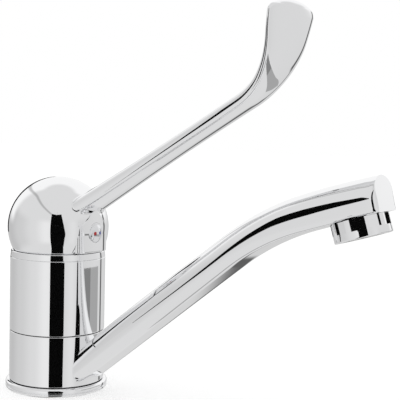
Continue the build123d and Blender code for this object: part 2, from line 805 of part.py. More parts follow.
def water_channel():
    """Bore of the spout: a round channel at one height above the underside."""
    lift = arm_channel_lift
    points = []
    run_one = (arm_bend_x - arm_start_x) / cos(radians(arm_slope))
    run_two = arm_bend_r * radians(arm_slope - nose_slope)
    x_end, z_end, angle_end = underside_point(1)
    total = run_one + run_two + (x_end - bend_end_x()) / cos(radians(nose_slope))
    aerator_along = total - aerator_back - (x_end - nose_x) / cos(radians(nose_slope))
    for along in (0, run_one, run_one + run_two / 2, run_one + run_two, aerator_along):
        x, z, angle = underside_point(along / total)
        points.append((x - lift * sin(radians(angle)), 0, z + lift * cos(radians(angle))))
    start, bend_in, bend_mid, bend_out, end = points
    path = Wire([Line(start, bend_in), ThreePointArc(bend_in, bend_mid, bend_out), Line(bend_out, end)])
    mouth = Plane(origin=start, z_dir=(cos(radians(arm_slope)), 0, sin(radians(arm_slope))))
    return sweep(mouth * Circle(arm_channel_d / 2), path)


def bend_end_x():
    """Where the underside's bend ends along X."""
    return arm_bend_x + arm_bend_r * (sin(radians(arm_slope)) - sin(radians(nose_slope)))


def swivel_spout():
    """Spout casting: ring round the sleeve, hollow arm and nipple for the aerator."""
    arm = spout_arm()
    foot = flange_h + arm_foot_z
    low = arm_start_z - dome_d
    arm -= post(nose_x, low, foot)
    arm -= post(body_r + arm_body_gap, ring_top_z, shoulder_z + body_d)
    part = post(body_r, ring_low_z, ring_top_z) + arm
    part += aerator_rod(nipple_d / 2, -nipple_l, nipple_l + nipple_l)
    part -= water_channel()
    part -= aerator_rod(nipple_bore / 2, -nose_cavity_h, nose_cavity_h + nipple_l)
    part -= post(ring_bore_r, ring_low_z - cut_over, ring_top_z + cut_over)
    glide_r = sleeve_r + glide_w
    part -= post(glide_r, ring_low_z - cut_over, ring_low_z + glide_recess)
    part -= post(glide_r, ring_top_z - glide_recess, ring_top_z + cut_over)
    half = chamber_w / 2
    part -= post(ring_bore_r + ring_chamber_depth, chamber_z - half, chamber_z + half)
    return part


def aerator_housing():
    """Screwed housing of the aerator with spanner notches and a lower lip."""
    out_r = aerator_d / 2
    bore = nipple_d / 2 + thread_fit
    part = aerator_rod(out_r, aerator_seat_gap, aerator_h - aerator_seat_gap)
    rims = part.edges().filter_by(GeomType.CIRCLE).sort_by(Axis.Z)
    part = fillet(rims[0], aerator_edge_r)
    part -= aerator_rod(bore, 0, aerator_h - aerator_lip_h)
    part -= aerator_rod(bore - aerator_lip_w, 0, aerator_h)
    for i in range(aerator_notches):
        turn = Rot(0, 0, 360 / aerator_notches * i)
        notch = Pos(out_r - aerator_notch_depth, 0, 0) * Box(
            out_r, aerator_notch_w, aerator_notch_h, align=(Align.MIN, Align.CENTER, Align.MIN))
        part -= aerator_plane() * (turn * notch)
    return part


def hole_places():
    """Places of the holes in the aerator's insert and screen: one, then rings of six, twelve."""
    places = [(0, 0)]
    for lap in range(1, hole_rings + 1):
        count = 6 * lap
        for i in range(count):
            angle = radians(360 / count * i)
            places.append((lap * hole_pitch * cos(angle), lap * hole_pitch * sin(angle)))
    return places


def aerator_washer():
    """Rubber washer between the nipple and the insert."""
    washer = aerator_rod(nipple_d / 2 - insert_fit, nipple_l, washer_h)
    return washer - aerator_rod(nipple_bore / 2, nipple_l, washer_h)


def insert_levels():
    """Where the aerator's insert starts and how long it is."""
    start = nipple_l + washer_h
    return start, aerator_h - aerator_lip_h - start


def aerator_insert():
    """Plastic jet insert with nineteen through holes and a pocket for the screen."""
    start, length = insert_levels()
    part = aerator_rod(nipple_d / 2 - insert_fit, start, length)
    part += aerator_rod(nipple_d / 2 - aerator_lip_w - insert_fit, start, length + insert_nose)
    part -= aerator_rod(screen_d / 2, start, screen_h)
    for x, y in hole_places():
        part -= aerator_plane(start) * Pos(x, y, 0) * Cylinder(
            insert_hole_d / 2, length + insert_nose, align=(Align.CENTER, Align.CENTER, Align.MIN))
    return part


def aerator_screen():
    """Perforated screen in the insert's pocket."""
    start, length = insert_levels()
    part = aerator_rod(screen_d / 2, start, screen_h)
    for x, y in hole_places():
        part -= aerator_plane(start) * Pos(x, y, 0) * Cylinder(
            screen_hole_d / 2, screen_h, align=(Align.CENTER, Align.CENTER, Align.MIN))
    return part


def fixing_stud():
    """Threaded stud from the sleeve down through the deck."""
    return post(stud_d / 2, -stud_below, stud_hole_depth, stud_x)


def horseshoe(thickness, top_z):
    """Horseshoe washer: a stud hole on one side, open towards the hoses."""
    low = top_z - thickness
    plate = post(washer_span_d / 2, low, top_z)
    plate -= post(stud_d / 2 + stud_washer_gap, low, top_z, stud_x)
    slot = Pos(washer_slot_x, 0, low) * Box(
        washer_span_d, washer_slot_w, thickness, align=(Align.MIN, Align.CENTER, Align.MIN))
    return plate - slot


def fixing_nut():
    """Long hexagon nut with a collar, under the steel washer."""
    top = -deck_t - rubber_washer_t - steel_washer_t
    nut = Pos(stud_x, 0, 0) * hexagon(fixing_nut_af, top - fixing_nut_h, top)
    nut += post(nut_collar_d / 2, top - nut_collar_h, top, stud_x)
    return nut - post(stud_d / 2, top - fixing_nut_h, top, stud_x)


def save(name, shape):
    """Write one piece, or a group of like pieces, under its name."""
    if isinstance(shape, list):
        shape = Compound(children=shape)
    export_step(shape, f"parts/{name}.step")


save("body_casting", body_casting())
save("base_flange", base_flange())
save("base_seal", base_seal())
save("spout_orings", spout_orings())
save("upper_glide_ring", glide_ring(shoulder_z, ring_top_z - glide_recess + glide_fit))
save("lower_glide_ring", glide_ring(flange_h, ring_low_z + glide_recess - glide_fit))
save("cartridge_base", cartridge_base())
save("cartridge_seals", cartridge_seals())
save("fixed_disc", fixed_disc())
save("moving_disc", moving_disc())
save("disc_carrier", disc_carrier())
save("cartridge_housing", cartridge_housing())
save("stem_guide", stem_guide())
save("pivot_pin", pivot_pin())
save("cartridge_nut", cartridge_nut())
save("cover_ring", cover_ring())
save("stem", stem())
save("elbow_handle", elbow_handle())
save("set_screw", set_screw())
save("index_button", index_button())
save("hot_dot", dot(-1))
save("cold_dot", dot(1))
save("swivel_spout", swivel_spout())
save("aerator_housing", aerator_housing())
save("aerator_washer", aerator_washer())
save("aerator_insert", aerator_insert())
save("aerator_screen", aerator_screen())
save("fixing_stud", fixing_stud())
save("rubber_washer", horseshoe(rubber_washer_t, -deck_t))
save("steel_washer", horseshoe(steel_washer_t, -deck_t - rubber_washer_t))
save("fixing_nut", fixing_nut())
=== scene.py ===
"""Looks of an elbow lever tap: polished column, ball-domed handle, bent spout and aerator.

The tap's lengths are written in millimetres and go into its meshes in metres. The studio's are in metres.
+Z is up, +X points along the spout and the lever, and the deck is the plane z = 0.
"""
import json
from math import atan2, cos, pi, radians, sin, sqrt, tan

import bmesh
import bpy
import numpy as np
from mathutils import Matrix

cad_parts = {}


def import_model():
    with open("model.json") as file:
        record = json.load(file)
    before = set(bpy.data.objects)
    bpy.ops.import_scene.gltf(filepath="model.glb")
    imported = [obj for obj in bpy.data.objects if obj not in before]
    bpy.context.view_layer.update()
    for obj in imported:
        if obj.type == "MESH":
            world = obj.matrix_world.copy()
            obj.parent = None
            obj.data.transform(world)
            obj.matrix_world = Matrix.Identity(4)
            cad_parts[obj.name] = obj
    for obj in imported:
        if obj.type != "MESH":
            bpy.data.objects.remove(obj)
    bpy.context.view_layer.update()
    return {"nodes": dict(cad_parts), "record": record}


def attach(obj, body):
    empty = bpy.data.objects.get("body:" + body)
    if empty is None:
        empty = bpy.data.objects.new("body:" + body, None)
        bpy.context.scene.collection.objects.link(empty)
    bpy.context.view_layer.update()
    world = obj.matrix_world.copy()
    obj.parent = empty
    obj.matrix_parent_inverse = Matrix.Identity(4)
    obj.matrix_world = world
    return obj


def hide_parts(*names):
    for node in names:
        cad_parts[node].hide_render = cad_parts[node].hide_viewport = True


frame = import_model()

MM = 0.001
JOIN_WITHIN, SLIVER_UNDER = 2e-6, 1e-7
ROUND_STEPS = 224
SHARP, CAD_SHARP, ARM_SHARP, BAR_SHARP, TRIM_SHARP = 40.0, 32.0, 46.0, 50.0, 60.0


# Meshes from grids of points

def linked(name, data):
    """Object with the given mesh or lens, put into the scene."""
    made = bpy.data.objects.new(name, data)
    bpy.context.scene.collection.objects.link(made)
    return made


def shade(shape, sharp_angle):
    """Shades faces smooth; edges where the surface turns by sharp_angle degrees or more stay sharp."""
    for face in shape.faces:
        face.smooth = True
    for edge in shape.edges:
        edge.smooth = len(edge.link_faces) == 2 and edge.calc_face_angle(0.0) < radians(sharp_angle)


def closed_piece(name, points, faces, sharp_angle):
    """Closed piece from points in millimetres; doubles are merged and every face is turned outwards."""
    mesh = bpy.data.meshes.new(name)
    mesh.from_pydata((np.asarray(points, float) * MM).tolist(), [], faces)
    shape = bmesh.new()
    shape.from_mesh(mesh)
    bmesh.ops.remove_doubles(shape, verts=shape.verts, dist=JOIN_WITHIN)
    bmesh.ops.dissolve_degenerate(shape, edges=shape.edges, dist=SLIVER_UNDER)
    bmesh.ops.recalc_face_normals(shape, faces=shape.faces)
    shade(shape, sharp_angle)
    shape.to_mesh(mesh)
    shape.free()
    return linked(name, mesh)


def grid_faces(rows, columns, ring):
    """Quads of a grid of points; every row is a closed loop, and in a ring the last row meets the first."""
    r = np.arange(rows if ring else rows - 1)[:, None]
    c = np.arange(columns)[None, :]
    r2, c2 = (r + 1) % rows, (c + 1) % columns
    corners = (r * columns + c, r * columns + c2, r2 * columns + c2, r2 * columns + c)
    return np.stack(np.broadcast_arrays(*corners), -1).reshape(-1, 4)


def closed_rows(name, rows, sharp_angle, ring=False):
    """Closed piece from rows of points; the first and last rows are joined, or each closed by a fan."""
    count, columns = rows.shape[:2]
    faces = grid_faces(count, columns, ring).tolist()
    points = rows.reshape(-1, 3)
    if not ring:
        k = np.arange(columns)
        total = count * columns
        fan = np.stack((k, (k + 1) % columns, np.full(columns, total)), -1)
        faces += fan.tolist() + (fan + np.array((total - columns, total - columns, 1))).tolist()
        points = np.concatenate((points, [rows[0].mean(0), rows[-1].mean(0)]))
    return closed_piece(name, points, faces, sharp_angle)


def rounded(corners, steps=5, margin=0.12):
    """Outline through corners (x, y, radius), each corner replaced by an arc tangent to both sides.

    A point is added a little before and after each arc, so that shading of the flats stays flat.
    """
    corners = [tuple(c) + (0.0,) * (3 - len(c)) for c in corners]
    count, out = len(corners), []
    for i, (x, y, r) in enumerate(corners):
        here = np.array((x, y))
        before, after = np.array(corners[i - 1][:2]), np.array(corners[(i + 1) % count][:2])
        a, b = before - here, after - here
        la, lb = np.linalg.norm(a), np.linalg.norm(b)
        if r <= 0 or la < 1e-9 or lb < 1e-9:
            out.append(here)
            continue
        a, b = a / la, b / lb
        half = np.arccos(np.clip(a @ b, -1, 1)) / 2
        cut = r / np.tan(half)
        middle = here + (a + b) / np.linalg.norm(a + b) * r / np.sin(half)
        p, q = here + a * cut, here + b * cut
        start = np.arctan2(*(p - middle)[::-1])
        turn = np.arctan2(*(q - middle)[::-1]) - start
        turn = (turn + pi) % (2 * pi) - pi
        if cut + margin < la * 0.49:
            out.append(p + a * margin)
        angles = start + turn * np.linspace(0, 1, steps + 1)
        out.extend(middle + r * np.stack((np.cos(angles), np.sin(angles)), -1))
        if cut + margin < lb * 0.49:
            out.append(q + b * margin)
    return np.array(out)


def spun(name, outline, turns=ROUND_STEPS, place=None):
    """Closed outline of (radius, height) turned once about the Z axis, then moved by a 4 x 4 place."""
    outline = np.asarray(outline, float)
    angle = np.linspace(0, 2 * pi, turns, endpoint=False)
    points = np.stack((
        np.outer(np.cos(angle), outline[:, 0]),
        np.outer(np.sin(angle), outline[:, 0]),
        np.broadcast_to(outline[:, 1], (turns, len(outline)))), -1).reshape(-1, 3)
    if place is not None:
        points = points @ place[:3, :3].T + place[:3, 3]
    faces = grid_faces(turns, len(outline), ring=True).tolist()
    return closed_piece(name, points, faces, SHARP)


def placed(origin, z_dir, x_dir=(0, 1, 0)):
    """4 x 4 place whose local Z runs along z_dir and local X as near x_dir as it can."""
    z = np.array(z_dir, float) / np.linalg.norm(z_dir)
    x = np.array(x_dir, float) - np.dot(x_dir, z) * z
    x /= np.linalg.norm(x)
    out = np.eye(4)
    out[:3, 0], out[:3, 1], out[:3, 2], out[:3, 3] = x, np.cross(z, x), z, origin
    return out


def smoothed(name, node):
    """Copy of a CAD node with its loose triangles joined and its rounded faces shaded smooth."""
    mesh = frame["nodes"][node].data.copy()
    mesh.materials.clear()
    shape = bmesh.new()
    shape.from_mesh(mesh)
    bmesh.ops.remove_doubles(shape, verts=shape.verts, dist=JOIN_WITHIN)
    shade(shape, CAD_SHARP)
    shape.to_mesh(mesh)
    shape.free()
    mesh.name = name
    piece = linked(name, mesh)
    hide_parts(node)
    return piece


def blended(shares, values, share):
    """Smooth curve through a table of values, read at many shares at once (cubic, slopes from neighbours)."""
    shares, values, share = np.array(shares), np.array(values), np.asarray(share, float)
    slopes = np.gradient(values, shares)
    i = np.clip(np.searchsorted(shares, share, side="right") - 1, 0, len(shares) - 2)
    gap = shares[i + 1] - shares[i]
    t = (share - shares[i]) / gap
    rise = values[i + 1] - values[i]
    return values[i] + t * rise + t * (1 - t) * (
        (1 - t) * (slopes[i] * gap - rise) + t * (rise - slopes[i + 1] * gap))


def bent_path(start, slope, run, bend_r, end_slope, length, share):
    """Points and direction angles of a line, an arc and a line in the XZ plane, at shares of its length."""
    reach = np.asarray(share, float) * length
    slope, end_slope = radians(slope), radians(end_slope)
    turn = np.sign(end_slope - slope) * bend_r
    bend = abs(end_slope - slope) * bend_r
    angle = slope + np.clip(reach - run, 0, bend) / turn
    first = np.minimum(reach, run)
    last = np.maximum(reach - run - bend, 0)
    x = start[0] + first * cos(slope) + turn * (np.sin(angle) - sin(slope)) + last * np.cos(angle)
    z = start[1] + first * sin(slope) - turn * (np.cos(angle) - cos(slope)) + last * np.sin(angle)
    return x, z, angle


# Sizes shared by the pieces

DOME_R, PIVOT_Z, SKIRT_Z, WALL = 25.4, 82.0, 69.2, 2.2
BOSS_R, BOSS_HALF, BOSS_LOW, BOSS_EAVE, BOSS_RIDGE = 25.3, 10.8, 70.8, 84.2, 92.7
BUTTON_Z, BUTTON_R, BUTTON_CROWN, BUTTON_RISE = 80.6, 4.5, 8.0, 1.3
DOT_R, DOT_Y = 0.85, 1.75
BODY_R, BODY_TOP, BODY_EDGE, BODY_RIM = 24.0, 67.0, 0.35, 0.3
SLEEVE_R, SLEEVE_TOP = 16.0, 30.0
WATER_LOW, WATER_HIGH = 13.1, 21.1
COVER_SEAT_R = 22.3
NOSE_X, NOSE_LEAN, NOSE_CORNER = 179.5, 14.0, 2.4


# Handle

def dome():
    """Ball shell: outer and inner sphere about the pivot, joined by a flat rim at the skirt."""
    low = np.arcsin((SKIRT_Z - PIVOT_Z) / DOME_R)
    inner = DOME_R - WALL
    low_in = np.arcsin((SKIRT_Z - PIVOT_Z) / inner)
    up, down = np.linspace(low, pi / 2, 90), np.linspace(pi / 2, low_in, 40)
    outline = np.concatenate((
        np.stack((DOME_R * np.cos(up), PIVOT_Z + DOME_R * np.sin(up)), -1),
        np.stack((inner * np.cos(down), PIVOT_Z + inner * np.sin(down)), -1)))
    return spun("handle_dome", outline)


def boss_outline():
    """Gabled outline of the boss in (y, z), read at even steps, and its normals."""
    gable_half, gable_z = BOSS_HALF - 2.2, BOSS_EAVE + 0.7
    low_r, eave_r, gable_r, ridge_r = 0.5, 1.2, 2.0, 1.5
    ring = rounded([
        (-BOSS_HALF, BOSS_LOW, low_r), (BOSS_HALF, BOSS_LOW, low_r), (BOSS_HALF, BOSS_EAVE, eave_r),
        (gable_half, gable_z, gable_r), (0.0, BOSS_RIDGE, ridge_r), (-gable_half, gable_z, gable_r),
        (-BOSS_HALF, BOSS_EAVE, eave_r)], steps=6)
    gaps = np.linalg.norm(np.roll(ring, -1, 0) - ring, axis=1)
    reach = np.concatenate(([0], np.cumsum(gaps)))
    place = np.linspace(0, reach[-1], 240, endpoint=False)
    closed = np.concatenate((ring, ring[:1]))
    ring = np.stack((np.interp(place, reach, closed[:, 0]), np.interp(place, reach, closed[:, 1])), -1)
    tangent = np.roll(ring, -1, 0) - np.roll(ring, 1, 0)
    normal = np.stack((tangent[:, 1], -tangent[:, 0]), -1)
    return ring, normal / np.linalg.norm(normal, axis=1)[:, None]


def boss():
    """Gabled boss: its front lies on a cylinder about the column, its sides run back into the dome.

    The front is a ring of loops that blends from the button's round hole to the gabled outline. The hole's
    wall runs inwards behind a small chamfer, and the outline's edge is rounded before the sides run back.
    """
    hole_gap, hole_depth, lead_depth, edge = 0.25, 3.0, 0.25, 0.55
    chamfer_share, chamfer_depth, first_share = 0.06, 0.06, 0.06
    ring, normal = boss_outline()
    centre = np.array((0.0, BUTTON_Z))
    away = ring - centre
    hole = centre + away / np.linalg.norm(away, axis=1)[:, None] * (BUTTON_R + hole_gap)
    start = hole + (hole - centre) * chamfer_share
    loops = [(hole, -hole_depth), (hole, -lead_depth), ((hole + start) / 2, -chamfer_depth), (start, 0.0)]
    for share in np.linspace(first_share, 1, 14):
        loops.append((start + (ring - normal * edge - start) * share, 0.0))
    for turn in np.linspace(0, pi / 2, 7)[1:]:
        loops.append((ring - normal * edge * (1 - sin(turn)), -edge * (1 - cos(turn))))
    for depth in (0.8, 4.0, 8.0, 12.0):
        loops.append((ring, -depth))
    rows = []
    for outline, depth in loops:
        y = outline[:, 0]
        rows.append(np.stack((np.sqrt(BOSS_R ** 2 - y ** 2) + depth, y, outline[:, 1]), -1))
    return closed_rows("handle_boss", np.array(rows), SHARP)


LEVER_SHARES = (0.0, 0.14, 0.3, 0.47, 0.62, 0.7, 0.76, 0.82, 0.88, 0.94, 1.0)
LEVER_WIDTHS = (23.0, 20.5, 18.5, 17.0, 17.0, 18.2, 21.2, 26.6, 32.2, 36.8, 39.5)
LEVER_THICKS = (9.6, 8.8, 7.8, 7.3, 7.2, 7.0, 6.4, 5.6, 5.0, 4.6, 4.4)
LEVER_SLOPE, LEVER_END_SLOPE, LEVER_RUN, LEVER_BEND_R = 29.8, 80.0, 111.0, 38.0
LEVER_START, LEVER_TOP = (15.5, PIVOT_Z + 9.3), PIVOT_Z + 106.53
LEVER_POWER, LEVER_ROOT_R = 2.5, 1.3
PADDLE_HALF, PADDLE_CORNER, PADDLE_CROWN, PADDLE_TIP = 19.25, 4.6, 2.4, 1.8
TIP_SHARE = 0.93


def lever_path():
    """Middle line of the lever, its half widths and thicknesses, at shares crowded towards the tip.

    The paddle's end has a crowned top edge and two corner arcs, which limit the half width there, and the
    thickness runs out to nothing in a half ellipse over the last PADDLE_TIP millimetres.
    """
    slope, end_slope = radians(LEVER_SLOPE), radians(LEVER_END_SLOPE)
    bend_top = LEVER_START[1] + LEVER_RUN * sin(slope) + LEVER_BEND_R * (cos(slope) - cos(end_slope))
    length = LEVER_RUN + LEVER_BEND_R * (end_slope - slope) + (LEVER_TOP - bend_top) / sin(end_slope)
    crowded = np.sin(np.linspace(0, pi / 2, 70))[1:]
    share = np.concatenate((np.linspace(0, TIP_SHARE, 140), TIP_SHARE + (1 - TIP_SHARE) * crowded))
    x, z, angle = bent_path(LEVER_START, LEVER_SLOPE, LEVER_RUN, LEVER_BEND_R, LEVER_END_SLOPE, length, share)
    half = blended(LEVER_SHARES, LEVER_WIDTHS, share) / 2
    thick = blended(LEVER_SHARES, LEVER_THICKS, share)
    below = np.clip(LEVER_TOP - z, 0, None)
    shoulder = below - PADDLE_CROWN
    dip = np.clip(PADDLE_CORNER - shoulder, 0, PADDLE_CORNER)
    arc = np.sqrt(np.clip(PADDLE_CORNER ** 2 - dip ** 2, 0, None))
    straight = PADDLE_HALF - PADDLE_CORNER
    crown = straight * np.sqrt(np.clip(below / PADDLE_CROWN, 0, 1))
    limit = np.where(shoulder >= 0, straight + arc, crown)
    near = np.clip(below / PADDLE_TIP, 0, 1)
    return x, z, angle, np.minimum(half, limit), thick * np.sqrt(1 - (1 - near) ** 2)


def lever_rows():
    """Rows of points round the lever: superellipses |y/a|^n + |u/b|^n = 1 with n = LEVER_POWER.

    a is the half width and b half the thickness; u is measured square to the lever's middle line.
    """
    x, z, angle, half, thick = lever_path()
    turn = np.linspace(0, 2 * pi, 144, endpoint=False)
    c, d = np.cos(turn), np.sin(turn)
    across = half[:, None] * np.sign(c) * np.abs(c) ** (2 / LEVER_POWER)
    upward = thick[:, None] / 2 * np.sign(d) * np.abs(d) ** (2 / LEVER_POWER)
    px = x[:, None] - upward * np.sin(angle)[:, None]
    pz = z[:, None] + upward * np.cos(angle)[:, None]
    return np.stack((px, across, pz), -1)


def lever():
    """Elbow lever: a smooth oval bar that bends up and flares into a paddle with a thin rounded end."""
    return closed_rows("lever_bar", lever_rows(), BAR_SHARP)


def fillet(name, corner, first, second, radius):
    """Hollow fillet round a ring of corner points between two surfaces with the given outward normals.

    The rolling ball's centre is corner + r (n1 + n2) / (1 + n1.n2); it touches the surfaces at its centre
    less r n1 and r n2, and the arc between these is turned evenly from one to the other. The back of the
    strip lies a little under the corner.
    """
    sink = 0.3
    dot = (first * second).sum(1, keepdims=True)
    outwards = (first + second) / (1 + dot)
    centre = corner + radius * outwards
    full = np.arccos(np.clip(dot, -0.999, 0.9999))
    rows = [centre - radius * (np.sin((1 - t) * full) * first + np.sin(t * full) * second) / np.sin(full)
            for t in np.linspace(0, 1, 12)]
    rows.append(corner - sink * outwards)
    return closed_rows(name, np.stack(rows, 1), TRIM_SHARP, ring=True)


def lever_fillet():
    """Fillet where the lever runs out of the ball: each line of the bar is followed to the ball's surface."""
    rows = lever_rows()
    middle = np.array((0.0, 0.0, PIVOT_Z))
    gap = np.linalg.norm(rows - middle, axis=2) - DOME_R
    out = np.argmax(gap > 0, axis=0)
    k = np.arange(rows.shape[1])
    part = (-gap[out - 1, k] / (gap[out, k] - gap[out - 1, k]))[:, None]
    corner = rows[out - 1, k] * (1 - part) + rows[out, k] * part
    along_bar = rows[out, k] - rows[out - 1, k]
    round_bar = np.roll(corner, -1, 0) - np.roll(corner, 1, 0)
    first = np.cross(round_bar, along_bar)
    first /= np.linalg.norm(first, axis=1)[:, None]
    axis_point = rows[out, :, :].mean(1)
    first *= np.sign(((corner - axis_point) * first).sum(1))[:, None]
    second = (corner - middle) / DOME_R
    return fillet("lever_root", corner, first, second, LEVER_ROOT_R)


def button():
    """Plug with a domed face and a rounded rim, on the boss's axis."""
    rim_r, rim_rise, rim_step, rim_depth, depth = 0.35, 0.3, 0.2, 0.6, 3.0
    face_r = BUTTON_R - rim_r
    rise = np.linspace(0, np.arcsin(face_r / BUTTON_CROWN), 24)
    face = np.stack((BUTTON_CROWN * np.sin(rise), BUTTON_RISE - BUTTON_CROWN * (1 - np.cos(rise))), -1)
    rim = np.linspace(0.9, pi / 2, 6)
    edge = np.stack((face_r + rim_r * np.sin(rim), face[-1, 1] - rim_step + rim_rise * np.cos(rim)), -1)[1:]
    back = [(0.0, -depth), (BUTTON_R, -depth), (BUTTON_R, -rim_depth)]
    outline = np.concatenate((back, edge[::-1], face[::-1]))
    return spun("index_plug", outline, 96, placed((BOSS_R, 0, BUTTON_Z), (1, 0, 0)))


def dot(name, y):
    """Enamel dot: a thin cap of the plug's own domed face, raised a little above it."""
    sink, lift = -0.4, 0.03
    turn, out = np.linspace(0, 2 * pi, 32, endpoint=False), np.linspace(0, 1, 5)[1:]
    rows = []
    for raised, share in [(sink, out[-1])] + [(lift, o) for o in out[::-1]]:
        across, up = y + DOT_R * share * np.cos(turn), DOT_R * share * np.sin(turn)
        dome_x = BOSS_R + BUTTON_RISE - BUTTON_CROWN + np.sqrt(BUTTON_CROWN ** 2 - across ** 2 - up ** 2)
        rows.append(np.stack((dome_x + raised, across, BUTTON_Z + up), -1))
    return closed_rows(name, np.array(rows), TRIM_SHARP)


# Column

def column():
    """Upper body and sleeve in one turned outline, with the seal grooves and the cartridge seat."""
    seal_r, water_r, nut_seat_r, cup_r = 14.1, 14.4, 20.0, 17.6
    seal_height, land, cover_seat_z, nut_seat_z, cup_z = 3.0, 0.9, 62.4, 55.91, 39.0
    foot_edge, seat_edge = 0.3, 0.15
    low_seal, high_seal = WATER_LOW - land - seal_height, WATER_HIGH + land
    outline = rounded([
        (0, 0), (SLEEVE_R, 0, foot_edge),
        (SLEEVE_R, low_seal), (seal_r, low_seal),
        (seal_r, low_seal + seal_height), (SLEEVE_R, low_seal + seal_height),
        (SLEEVE_R, WATER_LOW), (water_r, WATER_LOW), (water_r, WATER_HIGH), (SLEEVE_R, WATER_HIGH),
        (SLEEVE_R, high_seal), (seal_r, high_seal),
        (seal_r, high_seal + seal_height), (SLEEVE_R, high_seal + seal_height),
        (SLEEVE_R, SLEEVE_TOP), (BODY_R, SLEEVE_TOP, BODY_EDGE), (BODY_R, BODY_TOP, BODY_RIM),
        (COVER_SEAT_R, BODY_TOP, seat_edge), (COVER_SEAT_R, cover_seat_z), (nut_seat_r, cover_seat_z),
        (nut_seat_r, nut_seat_z), (cup_r, nut_seat_z), (cup_r, cup_z), (0, cup_z)])
    return spun("column_body", outline)


def cover():
    """Tapered ring on the column, hollowed to the ball of the handle."""
    top, low, seat_gap, ball_gap, taper, lip = 70.3, 64.0, 0.08, 0.3, 0.4, 0.25
    outer_edge, lip_edge, ball_edge = 0.45, 0.2, 0.35
    hollow = DOME_R + ball_gap
    at_top = sqrt(hollow ** 2 - (PIVOT_Z - top) ** 2)
    at_body = sqrt(hollow ** 2 - (PIVOT_Z - BODY_TOP) ** 2)
    height = np.linspace(top - ball_edge, BODY_TOP, 12)
    ball = np.stack((np.sqrt(hollow ** 2 - (PIVOT_Z - height) ** 2), height), -1)
    seat_r = COVER_SEAT_R - seat_gap
    outer = rounded([
        (at_body, low), (seat_r, low), (seat_r, BODY_TOP), (BODY_R, BODY_TOP, BODY_RIM),
        (BODY_R - taper, top, outer_edge), (at_top + lip, top, lip_edge), (ball[0, 0], ball[0, 1])])
    return spun("cover_collar", np.concatenate((outer, ball[1:])))


def foot():
    """Base flange: a tall bead over a fine groove and a low bead, open under the seal."""
    bead_r, groove_r, top, groove_low, groove_high, nick = 25.75, 25.15, 4.2, 1.6, 1.95, 0.15
    seal_in, seal_out, seal_top = 20.5, 23.55, 1.6
    low_edge, nick_edge, groove_edge, top_edge = 1.2, 0.25, 0.1, 1.35
    outline = rounded([
        (SLEEVE_R, 0.0), (seal_in, 0.0), (seal_in, seal_top), (seal_out, seal_top), (seal_out, 0.0),
        (bead_r, 0.0, low_edge), (bead_r, groove_low - nick, nick_edge),
        (groove_r, groove_low, groove_edge), (groove_r, groove_high, groove_edge),
        (bead_r, groove_high + nick, nick_edge), (bead_r, top, top_edge),
        (SLEEVE_R, top)], steps=8)
    return spun("foot_flange", outline)


# Spout

SPOUT_SHARES = (0.0, 0.25, 0.45, 0.62, 0.75, 0.86, 1.0)
SPOUT_HALVES = (11.2, 11.2, 11.1, 11.0, 10.8, 10.5, 10.0)
SPOUT_SIDES = (6.9, 6.4, 5.5, 5.0, 5.7, 6.2, 5.7)
SPOUT_CROWNS = (7.95, 9.1, 9.6, 9.6, 9.8, 9.7, 9.2)
SPOUT_CORNERS = (5.0, 5.0, 4.8, 4.2, 3.4, 2.6, 2.0)
SPOUT_SLOPE, SPOUT_END_SLOPE, SPOUT_BEND_R = 37.5, 17.7, 120.0
SPOUT_START, SPOUT_BEND_X, SPOUT_ROOT_R = (SLEEVE_R, 1.4), 108.7, 21.0
SPOUT_OVERRUN, SPOUT_GAP = 2.0, 0.3
SPOUT_RUN = (SPOUT_BEND_X - SPOUT_START[0]) / cos(radians(SPOUT_SLOPE))
SPOUT_BEND_END = SPOUT_BEND_X + SPOUT_BEND_R * (sin(radians(SPOUT_SLOPE)) - sin(radians(SPOUT_END_SLOPE)))
SPOUT_LENGTH = (SPOUT_RUN + SPOUT_BEND_R * radians(SPOUT_SLOPE - SPOUT_END_SLOPE)
                + (NOSE_X + SPOUT_OVERRUN - SPOUT_BEND_END) / cos(radians(SPOUT_END_SLOPE)))


def spout_path(share):
    """Underside line of the spout at shares of its length."""
    return bent_path(SPOUT_START, SPOUT_SLOPE, SPOUT_RUN, SPOUT_BEND_R, SPOUT_END_SLOPE, SPOUT_LENGTH, share)


def nose_height():
    """Height of the underside where the nose ends."""
    x, z, angle = spout_path([1.0])
    return z[0] - (x[0] - NOSE_X) * tan(radians(SPOUT_END_SLOPE))


def spout_section(half, side, crown, corner):
    """One outline: flat underside, rounded lower corners, upright sides, arched crown with a soft eave."""
    turn = np.linspace(pi, 1.5 * pi, 13)
    left = np.stack((-half + corner + corner * np.cos(turn), corner + corner * np.sin(turn)), -1)
    flat = np.stack((np.linspace(left[-1, 0], -left[-1, 0], 9)[1:-1], np.zeros(7)), -1)
    right = left[::-1] * (-1, 1)
    r = (half ** 2 + crown ** 2) / (2 * crown)
    start = atan2(half, r - crown)
    arch = np.linspace(start, -start, 49)
    top = np.stack((r * np.sin(arch), side + crown - r + r * np.cos(arch)), -1)
    wall = np.linspace(0, 1, 7)[1:-1, None]
    up = right[-1] + (top[0] - right[-1]) * wall
    down = top[-1] + (left[0] - top[-1]) * wall
    return np.concatenate((left, flat, right, up, top, down))


